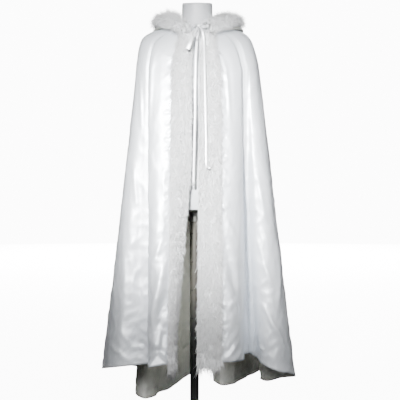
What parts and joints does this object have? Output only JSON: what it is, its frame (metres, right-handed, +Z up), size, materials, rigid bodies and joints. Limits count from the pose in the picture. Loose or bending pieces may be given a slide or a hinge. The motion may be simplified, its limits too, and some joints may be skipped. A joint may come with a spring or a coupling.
{
  "type": "hooded cape on a limbless dress form with a stand",
  "caption": "Full-length satin cape with a laid-back hood, fur borders and a ribbon tie, resting on a neck-and-torso dress form on a pole and round base.",
  "frame": {"origin": "centre of the base plate's underside, on the floor, on the pole's axis", "axes": "+Z up, -Y towards the cape's open front, +X to the right as seen from the front"},
  "size_m": [0.76, 0.664, 1.6591],
  "materials": {
    "satin": "white satin with a soft sheen",
    "fur": "white faux fur, short dense pile",
    "ribbon": "white satin ribbon",
    "form_gloss": "white gloss, smooth",
    "pole_steel": "brushed along its length",
    "base_steel": "satin, turned"
  },
  "bodies": {
    "root": {"front_left": "satin", "front_right": "satin", "back_left": "satin", "back_right": "satin", "hood_left": "satin", "hood_right": "satin", "fur_front_left": "fur", "fur_front_right": "fur", "fur_hood": "fur", "ribbon_knot": "ribbon", "ribbon_loop_left": "ribbon", "ribbon_loop_right": "ribbon", "ribbon_end_short": "ribbon", "ribbon_tail_left": "ribbon", "ribbon_tail_right": "ribbon", "ribbon_tie_left": "ribbon", "ribbon_tie_right": "ribbon", "dress_form": "form_gloss", "pole": "pole_steel", "pole_socket": "pole_steel", "base_plate": "base_steel"}
  },
  "joints": []
}
